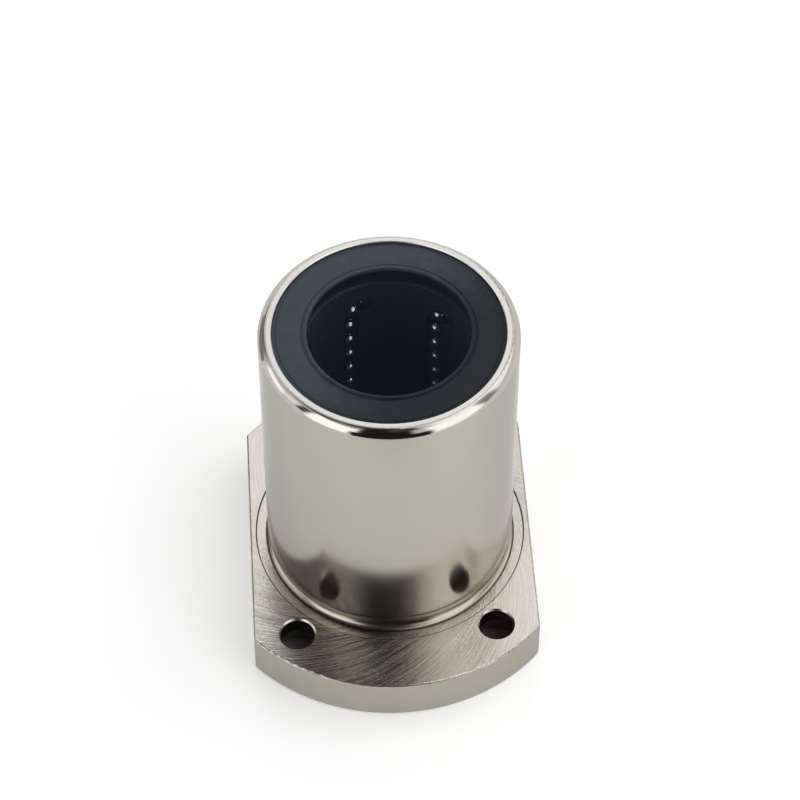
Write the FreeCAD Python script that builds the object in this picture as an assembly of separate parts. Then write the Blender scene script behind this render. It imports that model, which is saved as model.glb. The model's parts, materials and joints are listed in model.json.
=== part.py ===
import FreeCAD, Part
import math
import os

# Flanged linear ball bearing for a 25 mm shaft, standing on the outer face of its flange.
# All sizes are in millimetres. The shaft axis is +Z, the flange's outer face is z = 0,
# and the flange's two parallel flats face -X and +X.

# Flanged outer cylinder, outside
LENGTH = 59.0
BODY_R = 20.0
RIM_CHAMFER = 1.15
RIM_EDGE_ROUND = 0.35
FLANGE_R = 31.0
FLANGE_T = 8.0
FLAT_X = 23.0
FLANGE_CORNER_ROUND = 0.6
FLANGE_TOP_ROUND = 0.3
FLANGE_FOOT_CHAMFER = 0.4

# Grinding relief where the ground body meets the flange
RELIEF_TOP = 11.4
RELIEF_ROUND = 3.0
RELIEF_FOOT_R = 20.3
RECESS_R = 22.1
RECESS_DEPTH = 0.2
RECESS_WALL_LEAN = 0.1

# Mounting holes, on a rectangle, counterbored from the flange's outer face
BOLT_X = 16.0
BOLT_Y = 20.0
BOLT_HOLE_R = 2.75
BOLT_HOLE_CHAMFER = 0.25
COUNTERBORE_R = 4.5
COUNTERBORE_DEPTH = 5.1
COUNTERBORE_CHAMFER = 0.3

# Flanged outer cylinder, inside
RACEWAY_R = 15.70
RACEWAY_LEAD_IN = 0.4
TURN_RELIEF_R = 17.4
TURN_RELIEF_OVERLAP = 1.25
SEAT_R = 17.87
SEAT_DEPTH = 4.1
SEAT_CHAMFER = 0.12
RETURN_GROOVE_R = 1.78

# Ball circuits
BALL_R = 3.175 / 2
SHAFT_R = 12.5
CIRCUITS = 6
FIRST_CIRCUIT_DEG = 54.25
TURN_R = 3.36
BALLS_PER_TURN = 3
BALLS_PER_ROW = 10

# Ball retainer
RETAINER_IN_R = 12.95
RETAINER_OUT_R = 15.5
CHANNEL_R = 1.74

# End rings and seals
RING_T = 1.0
RING_IN_R = 13.2
SEAT_CLEARANCE = 0.02
SEAL_INSET = 0.3
SEAL_MARGIN = 0.6
SEAL_MARGIN_DROP = 0.2
SEAL_STEP_LEAN = 0.06
LIP_R = 12.51
LIP_BEAD_W = 0.64
LIP_BEAD_RISE = 0.2
LIP_GROOVE_W = 0.32
LIP_GROOVE_DEPTH = 0.14
LIP_LENGTH = 0.6
LIP_UNDERCUT_Z = 0.7

# Worked out from the above
MIDDLE_Z = LENGTH / 2
LOADED_R = SHAFT_R + BALL_R
PITCH = math.pi * TURN_R / BALLS_PER_TURN
STRAIGHT = BALLS_PER_ROW * PITCH
LOWER_TURN_Z = MIDDLE_Z - STRAIGHT / 2
UPPER_TURN_Z = MIDDLE_Z + STRAIGHT / 2
RECESS_Z = FLANGE_T - RECESS_DEPTH
SEAT_FIT_R = SEAT_R - SEAT_CLEARANCE
CUT_MARGIN = 1.0
HEIGHT_TOLERANCE = 1e-6

ORIGIN = FreeCAD.Vector(0, 0, 0)
Z_AXIS = FreeCAD.Vector(0, 0, 1)
MIDDLE = FreeCAD.Vector(0, 0, MIDDLE_Z)


def at(r, z):
    """A point of a turned section, at radius r and height z."""
    return FreeCAD.Vector(r, 0, z)


def line(start, end):
    """A straight edge between two points."""
    return Part.LineSegment(start, end).toShape()


def arc(start, middle, end):
    """A round edge through three points."""
    return Part.Arc(start, middle, end).toShape()


def eased_corner(before, corner, after, radius):
    """Three points of the arc that eases a corner: where it starts, its middle and where it ends."""
    back = (before - corner).normalize()
    ahead = (after - corner).normalize()
    half_angle = back.getAngle(ahead) / 2
    reach = radius / math.tan(half_angle)
    inset = radius / math.sin(half_angle) - radius
    bisector = (back + ahead).normalize()
    return corner + back * reach, corner + bisector * inset, corner + ahead * reach


def chain(points):
    """Straight edges that join the points in order."""
    return [line(start, end) for start, end in zip(points, points[1:])]


def turned(edges):
    """The solid that a closed section makes when it turns once about the shaft axis."""
    section = Part.Face(Part.Wire(Part.__sortEdges__(edges)))
    return section.revolve(ORIGIN, Z_AXIS, 360)


def turned_polygon(points):
    """A turned solid whose section has straight sides only."""
    return turned(chain(points + points[:1]))


def flange_outline():
    """The flange seen from above: a disc cut by two flats, with its four corners eased."""
    inset_r = FLANGE_R - FLANGE_CORNER_ROUND
    corner_x = FLAT_X - FLANGE_CORNER_ROUND
    corner_y = math.sqrt(inset_r**2 - corner_x**2)
    rim_scale = FLANGE_R / inset_r
    rim_x = corner_x * rim_scale
    rim_y = corner_y * rim_scale
    half_angle = math.atan2(corner_y, corner_x) / 2
    ease_x = corner_x + FLANGE_CORNER_ROUND * math.cos(half_angle)
    ease_y = corner_y + FLANGE_CORNER_ROUND * math.sin(half_angle)
    edges = []
    for side in (1, -1):
        flat_start = FreeCAD.Vector(side * FLAT_X, -corner_y, 0)
        flat_end = FreeCAD.Vector(side * FLAT_X, corner_y, 0)
        edges.append(line(flat_start, flat_end))
        edges.append(
            arc(
                FreeCAD.Vector(-rim_x, side * rim_y, 0),
                FreeCAD.Vector(0, side * FLANGE_R, 0),
                FreeCAD.Vector(rim_x, side * rim_y, 0),
            )
        )
        for end in (1, -1):
            edges.append(
                arc(
                    FreeCAD.Vector(side * FLAT_X, end * corner_y, 0),
                    FreeCAD.Vector(side * ease_x, end * ease_y, 0),
                    FreeCAD.Vector(side * rim_x, end * rim_y, 0),
                )
            )
    return Part.Face(Part.Wire(Part.__sortEdges__(edges)))


def edges_at_height(solid, z):
    """The edges of a solid that lie wholly at one height."""
    level = []
    for edge in solid.Edges:
        ends = (edge.BoundBox.ZMin, edge.BoundBox.ZMax)
        if all(abs(end - z) < HEIGHT_TOLERANCE for end in ends):
            level.append(edge)
    return level


def flange_plate():
    """The flange, with a rounded top edge, a chamfered foot and the recess round the body."""
    plate = flange_outline().extrude(Z_AXIS * FLANGE_T)
    plate = plate.makeFillet(FLANGE_TOP_ROUND, edges_at_height(plate, FLANGE_T))
    plate = plate.makeChamfer(FLANGE_FOOT_CHAMFER, edges_at_height(plate, 0))
    recess = turned_polygon(
        [
            at(0, RECESS_Z),
            at(RECESS_R - RECESS_WALL_LEAN, RECESS_Z),
            at(RECESS_R, FLANGE_T),
            at(RECESS_R, FLANGE_T + CUT_MARGIN),
            at(0, FLANGE_T + CUT_MARGIN),
        ]
    )
    return plate.cut(recess)


def cylinder_blank():
    """The ground body with its chamfered rim, standing on the hollow arc of its relief."""
    drop = RELIEF_TOP - RECESS_Z
    spread = RELIEF_FOOT_R - BODY_R
    chord = math.hypot(drop, spread)
    sag = RELIEF_ROUND - math.sqrt(RELIEF_ROUND**2 - chord**2 / 4)
    deep_r = (BODY_R + RELIEF_FOOT_R) / 2 - sag * drop / chord
    deep_z = (RELIEF_TOP + RECESS_Z) / 2 - sag * spread / chord
    relief_top = at(BODY_R, RELIEF_TOP)
    relief_foot = at(RELIEF_FOOT_R, RECESS_Z)
    rim_foot = at(BODY_R, LENGTH - RIM_CHAMFER)
    rim_head = at(BODY_R - RIM_CHAMFER, LENGTH)
    axis_head = at(0, LENGTH)
    foot_start, foot_middle, foot_end = eased_corner(relief_top, rim_foot, rim_head, RIM_EDGE_ROUND)
    head_start, head_middle, head_end = eased_corner(rim_foot, rim_head, axis_head, RIM_EDGE_ROUND)
    edges = chain([head_end, axis_head, at(0, 0), at(RELIEF_FOOT_R, 0), relief_foot])
    edges.append(arc(relief_foot, at(deep_r, deep_z), relief_top))
    edges.append(line(relief_top, foot_start))
    edges.append(arc(foot_start, foot_middle, foot_end))
    edges.append(line(foot_end, head_start))
    edges.append(arc(head_start, head_middle, head_end))
    return turned(edges)


def stepped_bore():
    """The space bored through the cylinder: seats, turn reliefs and the raceway between them."""
    relief_end = LOWER_TURN_Z + TURN_RELIEF_OVERLAP
    half = [
        at(SEAT_R + SEAT_CHAMFER + CUT_MARGIN, -CUT_MARGIN),
        at(SEAT_R, SEAT_CHAMFER),
        at(SEAT_R, SEAT_DEPTH),
        at(TURN_RELIEF_R, SEAT_DEPTH),
        at(TURN_RELIEF_R, relief_end),
        at(RACEWAY_R + RACEWAY_LEAD_IN, relief_end),
        at(RACEWAY_R, relief_end + RACEWAY_LEAD_IN),
    ]
    mirrored = [at(p.x, LENGTH - p.z) for p in reversed(half)]
    return turned_polygon([at(0, -CUT_MARGIN)] + half + mirrored + [at(0, LENGTH + CUT_MARGIN)])


def bolt_hole():
    """One mounting hole at the origin: a chamfered through hole with a counterbore for a socket head."""
    return turned_polygon(
        [
            at(0, -CUT_MARGIN),
            at(COUNTERBORE_R + COUNTERBORE_CHAMFER + CUT_MARGIN, -CUT_MARGIN),
            at(COUNTERBORE_R, COUNTERBORE_CHAMFER),
            at(COUNTERBORE_R, COUNTERBORE_DEPTH),
            at(BOLT_HOLE_R, COUNTERBORE_DEPTH),
            at(BOLT_HOLE_R, FLANGE_T - BOLT_HOLE_CHAMFER),
            at(BOLT_HOLE_R + BOLT_HOLE_CHAMFER + CUT_MARGIN, FLANGE_T + CUT_MARGIN),
            at(0, FLANGE_T + CUT_MARGIN),
        ]
    )


def bolt_holes():
    """The four mounting holes in their places."""
    holes = []
    for x in (-BOLT_X, BOLT_X):
        for y in (-BOLT_Y, BOLT_Y):
            holes.append(bolt_hole().translated(FreeCAD.Vector(x, y, 0)))
    return holes


def circuit_angle(index):
    """The direction, in degrees about the shaft axis, of one circuit's loaded row."""
    return FIRST_CIRCUIT_DEG + index * 360 / CIRCUITS


def in_circuit(shape, index):
    """A copy of a shape, drawn for a loaded row on +X, turned to its own circuit."""
    return shape.rotated(ORIGIN, Z_AXIS, circuit_angle(index))


def return_grooves():
    """Grooves along the raceway that give the returning balls room."""
    length = UPPER_TURN_Z - LOWER_TURN_Z
    start = FreeCAD.Vector(LOADED_R, -2 * TURN_R, LOWER_TURN_Z)
    groove = Part.makeCylinder(RETURN_GROOVE_R, length, start, Z_AXIS)
    return [in_circuit(groove, index) for index in range(CIRCUITS)]


def flanged_outer_cylinder():
    """The hardened outer cylinder and its flange, turned and ground from one piece."""
    cylinder = flange_plate().fuse(cylinder_blank())
    return cylinder.cut([stepped_bore()] + bolt_holes() + return_grooves()).removeSplitter()


def channel_section():
    """The section of a ball channel: a round floor with straight walls open outwards."""
    outside = RETAINER_OUT_R + CUT_MARGIN
    floor = arc(
        FreeCAD.Vector(LOADED_R, CHANNEL_R, LOWER_TURN_Z),
        FreeCAD.Vector(LOADED_R - CHANNEL_R, 0, LOWER_TURN_Z),
        FreeCAD.Vector(LOADED_R, -CHANNEL_R, LOWER_TURN_Z),
    )
    walls = chain(
        [
            FreeCAD.Vector(LOADED_R, -CHANNEL_R, LOWER_TURN_Z),
            FreeCAD.Vector(outside, -CHANNEL_R, LOWER_TURN_Z),
            FreeCAD.Vector(outside, CHANNEL_R, LOWER_TURN_Z),
            FreeCAD.Vector(LOADED_R, CHANNEL_R, LOWER_TURN_Z),
        ]
    )
    return Part.Face(Part.Wire([floor] + walls))


def ball_channel():
    """The racetrack that one circuit's balls run in: two straights joined by two half turns."""
    loaded_end = channel_section()
    return_end = loaded_end.translated(FreeCAD.Vector(0, -2 * TURN_R, 0))
    upper_end = loaded_end.translated(Z_AXIS * STRAIGHT)
    turn_axis = FreeCAD.Vector(1, 0, 0)
    lower_centre = FreeCAD.Vector(0, -TURN_R, LOWER_TURN_Z)
    upper_centre = FreeCAD.Vector(0, -TURN_R, UPPER_TURN_Z)
    stretches = [
        loaded_end.extrude(Z_AXIS * STRAIGHT),
        return_end.extrude(Z_AXIS * STRAIGHT),
        upper_end.revolve(upper_centre, turn_axis, 180),
        loaded_end.revolve(lower_centre, turn_axis, -180),
    ]
    return stretches[0].fuse(stretches[1:])


def ball_retainer():
    """The moulded cage: a tube whose channels break through to the shaft along each loaded row."""
    height = LENGTH - 2 * SEAT_DEPTH
    base = at(0, SEAT_DEPTH)
    tube = Part.makeCylinder(RETAINER_OUT_R, height, base, Z_AXIS)
    hollow = Part.makeCylinder(RETAINER_IN_R, height, base, Z_AXIS)
    channel = ball_channel()
    channels = [in_circuit(channel, index) for index in range(CIRCUITS)]
    return tube.cut([hollow] + channels)


def upper_end_ring():
    """The flat ring that rests on the upper seat's shoulder and keeps the retainer in."""
    low = LENGTH - SEAT_DEPTH
    high = low + RING_T
    return turned_polygon(
        [
            at(RING_IN_R, low),
            at(SEAT_FIT_R, low),
            at(SEAT_FIT_R, high),
            at(RING_IN_R, high),
        ]
    )


def upper_seal():
    """The moulded seal on top of the upper end ring, with a lip that wipes the shaft."""
    back = LENGTH - SEAT_DEPTH + RING_T
    face = LENGTH - SEAL_INSET
    margin_r = SEAT_FIT_R - SEAL_MARGIN
    margin_z = face - SEAL_MARGIN_DROP
    bead_out_r = LIP_R + LIP_BEAD_W
    bead_mid_r = LIP_R + LIP_BEAD_W / 2
    groove_r = bead_out_r + LIP_GROOVE_W
    groove_z = face - LIP_GROOVE_DEPTH
    undercut_z = face - LIP_LENGTH - LIP_UNDERCUT_Z
    edges = chain(
        [
            at(LIP_R, face),
            at(LIP_R, face - LIP_LENGTH),
            at(RING_IN_R, undercut_z),
            at(RING_IN_R, back),
            at(SEAT_FIT_R, back),
            at(SEAT_FIT_R, margin_z),
            at(margin_r, margin_z),
            at(margin_r - SEAL_STEP_LEAN, face),
            at(groove_r, face),
            at(groove_r - SEAL_STEP_LEAN, groove_z),
            at(bead_out_r, groove_z),
        ]
    )
    bead_top = at(bead_mid_r, face + LIP_BEAD_RISE)
    edges.append(arc(at(bead_out_r, groove_z), bead_top, at(LIP_R, face)))
    return turned(edges)


def opposite(shape):
    """The same piece at the other end of the bearing."""
    return shape.mirror(MIDDLE, Z_AXIS)


def ball_at(y, z):
    """One ball whose centre lies in the plane of a circuit drawn for a loaded row on +X."""
    return Part.makeSphere(BALL_R, FreeCAD.Vector(LOADED_R, y, z))


def row_of_balls(y):
    """The balls along one straight of a circuit, spaced by the pitch."""
    heights = [LOWER_TURN_Z + (i + 0.5) * PITCH for i in range(BALLS_PER_ROW)]
    return Part.makeCompound([ball_at(y, z) for z in heights])


def turn_of_balls(centre_z, side):
    """The balls round one half turn, above its centre for side 1 and below it for side -1."""
    balls = []
    for i in range(BALLS_PER_TURN):
        angle = math.pi * (i + 0.5) / BALLS_PER_TURN
        y = -TURN_R + TURN_R * math.cos(angle)
        z = centre_z + side * TURN_R * math.sin(angle)
        balls.append(ball_at(y, z))
    return Part.makeCompound(balls)


def ball_circuits():
    """Every circuit's balls, grouped by the stretch of the racetrack that they are on."""
    groups = {
        "loaded_balls": row_of_balls(0),
        "return_balls": row_of_balls(-2 * TURN_R),
        "upper_turn_balls": turn_of_balls(UPPER_TURN_Z, 1),
        "lower_turn_balls": turn_of_balls(LOWER_TURN_Z, -1),
    }
    nodes = {}
    for index in range(CIRCUITS):
        for group, balls in groups.items():
            nodes[f"circuit_{index + 1}_{group}"] = in_circuit(balls, index)
    return nodes


def bearing():
    """Every sub-part of the bearing by its node's name."""
    nodes = {
        "flanged_outer_cylinder": flanged_outer_cylinder(),
        "ball_retainer": ball_retainer(),
        "upper_end_ring": upper_end_ring(),
        "lower_end_ring": opposite(upper_end_ring()),
        "upper_seal": upper_seal(),
        "lower_seal": opposite(upper_seal()),
    }
    nodes.update(ball_circuits())
    return nodes


os.makedirs("parts", exist_ok=True)
for name, shape in bearing().items():
    shape.exportStep(f"parts/{name}.step")
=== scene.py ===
import json
import logging
import math
from dataclasses import dataclass, field
from enum import Enum
from typing import Any, Union

import bmesh
import bpy
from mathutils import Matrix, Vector

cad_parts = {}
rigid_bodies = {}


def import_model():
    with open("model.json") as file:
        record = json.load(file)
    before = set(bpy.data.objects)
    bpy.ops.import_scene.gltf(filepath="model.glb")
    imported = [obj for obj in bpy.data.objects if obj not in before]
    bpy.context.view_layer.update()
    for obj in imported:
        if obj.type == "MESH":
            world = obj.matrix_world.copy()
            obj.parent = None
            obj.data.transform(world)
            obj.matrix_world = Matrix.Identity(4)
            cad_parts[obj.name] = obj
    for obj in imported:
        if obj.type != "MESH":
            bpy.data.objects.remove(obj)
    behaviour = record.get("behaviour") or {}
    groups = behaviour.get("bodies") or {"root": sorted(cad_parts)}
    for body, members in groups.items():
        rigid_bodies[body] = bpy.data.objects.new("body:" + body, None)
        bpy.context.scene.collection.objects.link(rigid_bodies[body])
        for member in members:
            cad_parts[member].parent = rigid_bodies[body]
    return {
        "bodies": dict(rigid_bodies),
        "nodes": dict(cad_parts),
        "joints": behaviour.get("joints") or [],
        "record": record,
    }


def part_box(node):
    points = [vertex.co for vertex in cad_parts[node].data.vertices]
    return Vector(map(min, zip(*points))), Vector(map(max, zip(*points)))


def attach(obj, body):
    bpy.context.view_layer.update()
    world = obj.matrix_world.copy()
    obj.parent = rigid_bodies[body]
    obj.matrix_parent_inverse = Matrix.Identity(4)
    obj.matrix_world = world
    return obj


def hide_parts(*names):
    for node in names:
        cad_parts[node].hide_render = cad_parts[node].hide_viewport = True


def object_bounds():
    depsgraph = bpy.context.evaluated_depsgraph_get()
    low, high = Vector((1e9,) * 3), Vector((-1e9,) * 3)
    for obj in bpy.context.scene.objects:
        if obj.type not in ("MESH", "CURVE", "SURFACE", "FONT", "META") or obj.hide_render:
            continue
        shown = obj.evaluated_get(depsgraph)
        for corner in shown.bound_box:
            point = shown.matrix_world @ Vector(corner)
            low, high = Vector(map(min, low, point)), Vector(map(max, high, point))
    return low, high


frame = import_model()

# Flanged linear bearing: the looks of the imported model, in metres, in the model's own frame.
# The shaft axis is +Z, the flange stands on z = 0, and the photograph was taken from the -Y side.

LOG = logging.getLogger("flanged_linear_bearing")
CAD_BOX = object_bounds()
MM = 0.001

Colour = tuple[float, float, float]
Place = tuple[float, float, float]
Number = Union[int, float]
Value = Union["Signal", Number]
Period = Union[float, Place]

# A painted glow: an even emission on the bore's dark parts, which are no lamps, standing in for the light
# that their black walls scatter between them, set as the shader's own sockets.
PAINTED_BORE_GLOW = {"emission_color": (0.0034, 0.0054, 0.0078, 1.0), "emission_strength": 1.0}

# The sockets of the Principled shader whose names are not the plain words used here.
SOCKET_NAMES = {"specular": "Specular IOR Level"}


def mount(name: str) -> dict[str, Any]:
    """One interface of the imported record.

    Args:
        name: The mount's name.

    Returns:
        The mount's entry in the record.
    """
    return next(entry for entry in frame["record"]["mounts"] if entry["name"] == name)


class Signal:
    """An output socket that adds Math nodes when it is used in an expression."""

    def __init__(self, graph: "Graph", socket: bpy.types.NodeSocket) -> None:
        """Wrap one output socket of a graph."""
        self.graph = graph
        self.socket = socket

    def __add__(self, other: Value) -> "Signal":
        """self + other"""
        return self.graph.math("ADD", self, other)

    __radd__ = __add__

    def __mul__(self, other: Value) -> "Signal":
        """self * other"""
        return self.graph.math("MULTIPLY", self, other)

    __rmul__ = __mul__

    def __sub__(self, other: Value) -> "Signal":
        """self - other"""
        return self.graph.math("SUBTRACT", self, other)

    def __rsub__(self, other: Value) -> "Signal":
        """other - self"""
        return self.graph.math("SUBTRACT", other, self)

    def __truediv__(self, other: Value) -> "Signal":
        """self / other"""
        return self.graph.math("DIVIDE", self, other)

    def __pow__(self, other: Value) -> "Signal":
        """self ** other"""
        return self.graph.math("POWER", self, other)

    def __abs__(self) -> "Signal":
        """abs(self)"""
        return self.graph.math("ABSOLUTE", self)

    def ramp(self, low: float, high: float) -> "Signal":
        """An eased rise from 0 at low to 1 at high, or a fall where low is the larger.

        Args:
            low: The value that gives 0.
            high: The value that gives 1.

        Returns:
            The clamped rise.
        """
        settings = {"interpolation_type": "SMOOTHSTEP"}
        inputs = {"Value": self, "From Min": low, "From Max": high}
        return self.graph.out("ShaderNodeMapRange", settings, inputs, "Result")

    def blend(self, without: Value, with_it: Value) -> "Signal":
        """A number that goes from one value to another as this mask goes from 0 to 1.

        Args:
            without: The value where the mask is 0.
            with_it: The value where the mask is 1.

        Returns:
            The blended number.
        """
        inputs = {0: self, 2: without, 3: with_it}
        return self.graph.out("ShaderNodeMix", {"data_type": "FLOAT"}, inputs, 0)


class Graph:
    """A node tree under construction, for a material, the world or a geometry modifier."""

    def __init__(self, tree: bpy.types.NodeTree) -> None:
        """Start from an empty tree."""
        self.tree = tree
        tree.nodes.clear()

    def add(self, kind: str, settings: dict | None = None, inputs: dict | None = None) -> bpy.types.Node:
        """Add one node.

        Args:
            kind: The node's type.
            settings: Its own properties, which are set first.
            inputs: A value or a Signal for each socket, by name or index.

        Returns:
            The new node.
        """
        node = self.tree.nodes.new(kind)
        for name, value in (settings or {}).items():
            setattr(node, name, value)
        for key, value in (inputs or {}).items():
            if isinstance(value, Signal):
                self.tree.links.new(value.socket, node.inputs[key])
            else:
                node.inputs[key].default_value = value
        return node

    def out(self, kind: str, settings: dict | None, inputs: dict | None, output: str | int) -> Signal:
        """Add one node and return one of its outputs.

        Args:
            kind: The node's type.
            settings: Its own properties, which are set first.
            inputs: A value or a Signal for each socket, by name or index.
            output: The output's name or index.

        Returns:
            The output as a Signal.
        """
        return Signal(self, self.add(kind, settings, inputs).outputs[output])

    def math(self, operation: str, *values: Value) -> Signal:
        """A Math node on one to three numbers."""
        return self.out("ShaderNodeMath", {"operation": operation}, dict(enumerate(values)), 0)

    def vector(self, operation: str, *values: Any) -> Signal:
        """A Vector Math node whose result is a vector."""
        return self.out("ShaderNodeVectorMath", {"operation": operation}, dict(enumerate(values)), "Vector")

    def dot(self, first: Any, second: Any) -> Signal:
        """The dot product of two vectors."""
        return self.out("ShaderNodeVectorMath", {"operation": "DOT_PRODUCT"}, {0: first, 1: second}, "Value")

    def split(self, vector: Signal) -> tuple[Signal, Signal, Signal]:
        """The three parts of a vector."""
        node = self.add("ShaderNodeSeparateXYZ", None, {"Vector": vector})
        return tuple(Signal(self, socket) for socket in node.outputs)

    def join(self, x: Value, y: Value, z: Value) -> Signal:
        """A vector from its three parts."""
        return self.out("ShaderNodeCombineXYZ", None, {"X": x, "Y": y, "Z": z}, "Vector")

    def noise(self, vector: Signal, detail: float = 2.0, roughness: float = 0.5) -> Signal:
        """Soft noise from 0 to 1 with one period for each unit of a vector.

        Args:
            vector: Where the noise is read, already scaled.
            detail: How many finer layers are added.
            roughness: How strong the finer layers are.

        Returns:
            The noise's value.
        """
        inputs = {"Vector": vector, "Scale": 1.0, "Detail": detail, "Roughness": roughness}
        return self.out("ShaderNodeTexNoise", {"noise_dimensions": "3D"}, inputs, 0)

    def grain(self, point: Signal, period: Period, detail: float = 2.0, roughness: float = 0.5) -> Signal:
        """Soft noise from 0 to 1 with a period in metres.

        Args:
            point: The place on the piece, in metres.
            period: One period for every direction, or one each for X, Y and Z.
            detail: How many finer layers are added.
            roughness: How strong the finer layers are.

        Returns:
            The noise's value.
        """
        periods = period if isinstance(period, tuple) else (period,) * 3
        scale = tuple(1 / length for length in periods)
        return self.noise(self.vector("MULTIPLY", point, scale), detail, roughness)

    def mottled(self, colour: Any, noise: Signal, depth: float) -> Signal:
        """A colour that noise makes lighter and darker, by half a depth each way.

        Args:
            colour: The colour.
            noise: The noise, from 0 to 1.
            depth: The whole change.

        Returns:
            The changed colour.
        """
        shade = self.grey(1 - depth / 2 + noise * depth)
        return self.tint(1.0, colour, shade, "MULTIPLY")

    def spoke(self, point: Signal) -> Signal:
        """The level direction from the shaft axis to a point."""
        return self.vector("NORMALIZE", self.vector("MULTIPLY", point, (1.0, 1.0, 0.0)))

    def towards(self, point: Signal, degrees: float) -> Signal:
        """How nearly a point lies on one side of the shaft axis: 1 on that side and -1 opposite.

        Args:
            point: The place on the piece.
            degrees: The side's azimuth.

        Returns:
            The cosine of the angle between them.
        """
        side = math.radians(degrees)
        return self.dot(self.spoke(point), (math.cos(side), math.sin(side), 0.0))

    def scaled(self, vector: Signal, factor: Signal) -> Signal:
        """A vector times a number."""
        inputs = {"Vector": vector, "Scale": factor}
        return self.out("ShaderNodeVectorMath", {"operation": "SCALE"}, inputs, "Vector")

    def tint(self, mask: Value, without: Any, with_it: Any, mode: str = "MIX") -> Signal:
        """A colour that goes from one to another as a mask goes from 0 to 1.

        Args:
            mask: The mask.
            without: The colour where the mask is 0.
            with_it: The colour where the mask is 1.
            mode: The Mix node's blend type.

        Returns:
            The mixed colour.
        """
        settings = {"data_type": "RGBA", "blend_type": mode}
        inputs = {0: mask, 6: rgba(without), 7: rgba(with_it)}
        return self.out("ShaderNodeMix", settings, inputs, 2)

    def grey(self, value: Signal) -> Signal:
        """A grey of that value as a colour."""
        inputs = {"Red": value, "Green": value, "Blue": value}
        return self.out("ShaderNodeCombineColor", None, inputs, 0)

    def bump(self, height: Signal, distance: float) -> Signal:
        """A normal bent by a height.

        Args:
            height: The height, as a multiple of the distance.
            distance: How far a height of 1 stands out, in metres.

        Returns:
            The bent normal.
        """
        return self.out("ShaderNodeBump", None, {"Height": height, "Distance": distance}, "Normal")

    def principled(self, **inputs: Any) -> Signal:
        """A Principled shader.

        Args:
            **inputs: A value or a Signal for each socket, named by words joined with underscores.

        Returns:
            The shader.
        """
        named = {name.replace("_", " "): value for name, value in inputs.items()}
        named = {SOCKET_NAMES.get(name, name.title()): value for name, value in named.items()}
        return self.out("ShaderNodeBsdfPrincipled", None, named, "BSDF")

    def mix_shader(self, mask: Signal, without: Signal, with_it: Signal) -> Signal:
        """One shader laid over another where a mask is 1."""
        return self.out("ShaderNodeMixShader", None, {0: mask, 1: without, 2: with_it}, 0)


def rgba(colour: Any) -> Any:
    """A colour socket's value: a plain colour gets its alpha, and a Signal stays."""
    return colour if isinstance(colour, Signal) else (*colour, 1.0)


def toned(colour: Colour, factor: float) -> Colour:
    """A colour made lighter or darker by a factor."""
    return tuple(factor * part for part in colour)


@dataclass(frozen=True)
class Finish:
    """A surface finish, which makes its material on demand."""

    name: str

    def shade(self, graph: Graph, point: Signal) -> Signal:
        """Build the shader.

        Args:
            graph: The material's tree.
            point: The place on the piece, in metres.

        Returns:
            The surface shader.
        """
        raise NotImplementedError

    def material(self) -> bpy.types.Material:
        """The finish as a node material.

        Returns:
            The material, made once for each name.
        """
        made = bpy.data.materials.get(self.name)
        if made is not None:
            return made
        made = bpy.data.materials.new(self.name)
        made.use_nodes = True
        graph = Graph(made.node_tree)
        point = graph.out("ShaderNodeTexCoord", None, None, "Object")
        surface = self.shade(graph, point)
        graph.add("ShaderNodeOutputMaterial", None, {"Surface": surface})
        return made


@dataclass(frozen=True)
class Zone:
    """One machined surface of the plated cylinder: its colour and roughness."""

    colour: Colour
    roughness: float


@dataclass(frozen=True)
class CylinderSizes:
    """Where the machined surfaces of the flanged cylinder begin and end, in metres."""

    top: float
    body_r: float
    body_low: float
    body_high: float
    flange_top: float
    flange_r: float
    hole_x: float
    hole_y: float
    hole_r: float
    seat_r: float
    flat_x: float
    recess_r: float = 22.1 * MM
    crease_r: float = 20.3 * MM
    crease_half: float = 0.19 * MM
    step_half: float = 0.13 * MM
    crease_rise: float = 0.3 * MM
    ease: float = 0.3 * MM
    hole_ease: float = 0.25 * MM
    hole_wall: float = 0.09 * MM
    recess_low: float = 0.36 * MM
    recess_high: float = 0.30 * MM
    edge: float = 0.03 * MM

    @classmethod
    def from_frame(cls) -> "CylinderSizes":
        """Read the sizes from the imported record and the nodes' boxes.

        Returns:
            The sizes.
        """
        spigot = mount("housing_spigot")
        bolts = mount("flange_bolts")["dims"]
        middle = spigot["pos_m"][2]
        half = spigot["dims"]["length_mm"] * MM / 2
        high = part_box("flanged_outer_cylinder")[1]
        return cls(
            top=high.z,
            body_r=spigot["dims"]["r_mm"] * MM,
            body_low=middle - half,
            body_high=middle + half,
            flange_top=mount("mounting_face")["pos_m"][2],
            flange_r=high.y,
            hole_x=bolts["spacing_x_mm"] * MM / 2,
            hole_y=bolts["spacing_y_mm"] * MM / 2,
            hole_r=bolts["hole_r_mm"] * MM,
            seat_r=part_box("upper_end_ring")[1].x,
            flat_x=high.x,
        )


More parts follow.
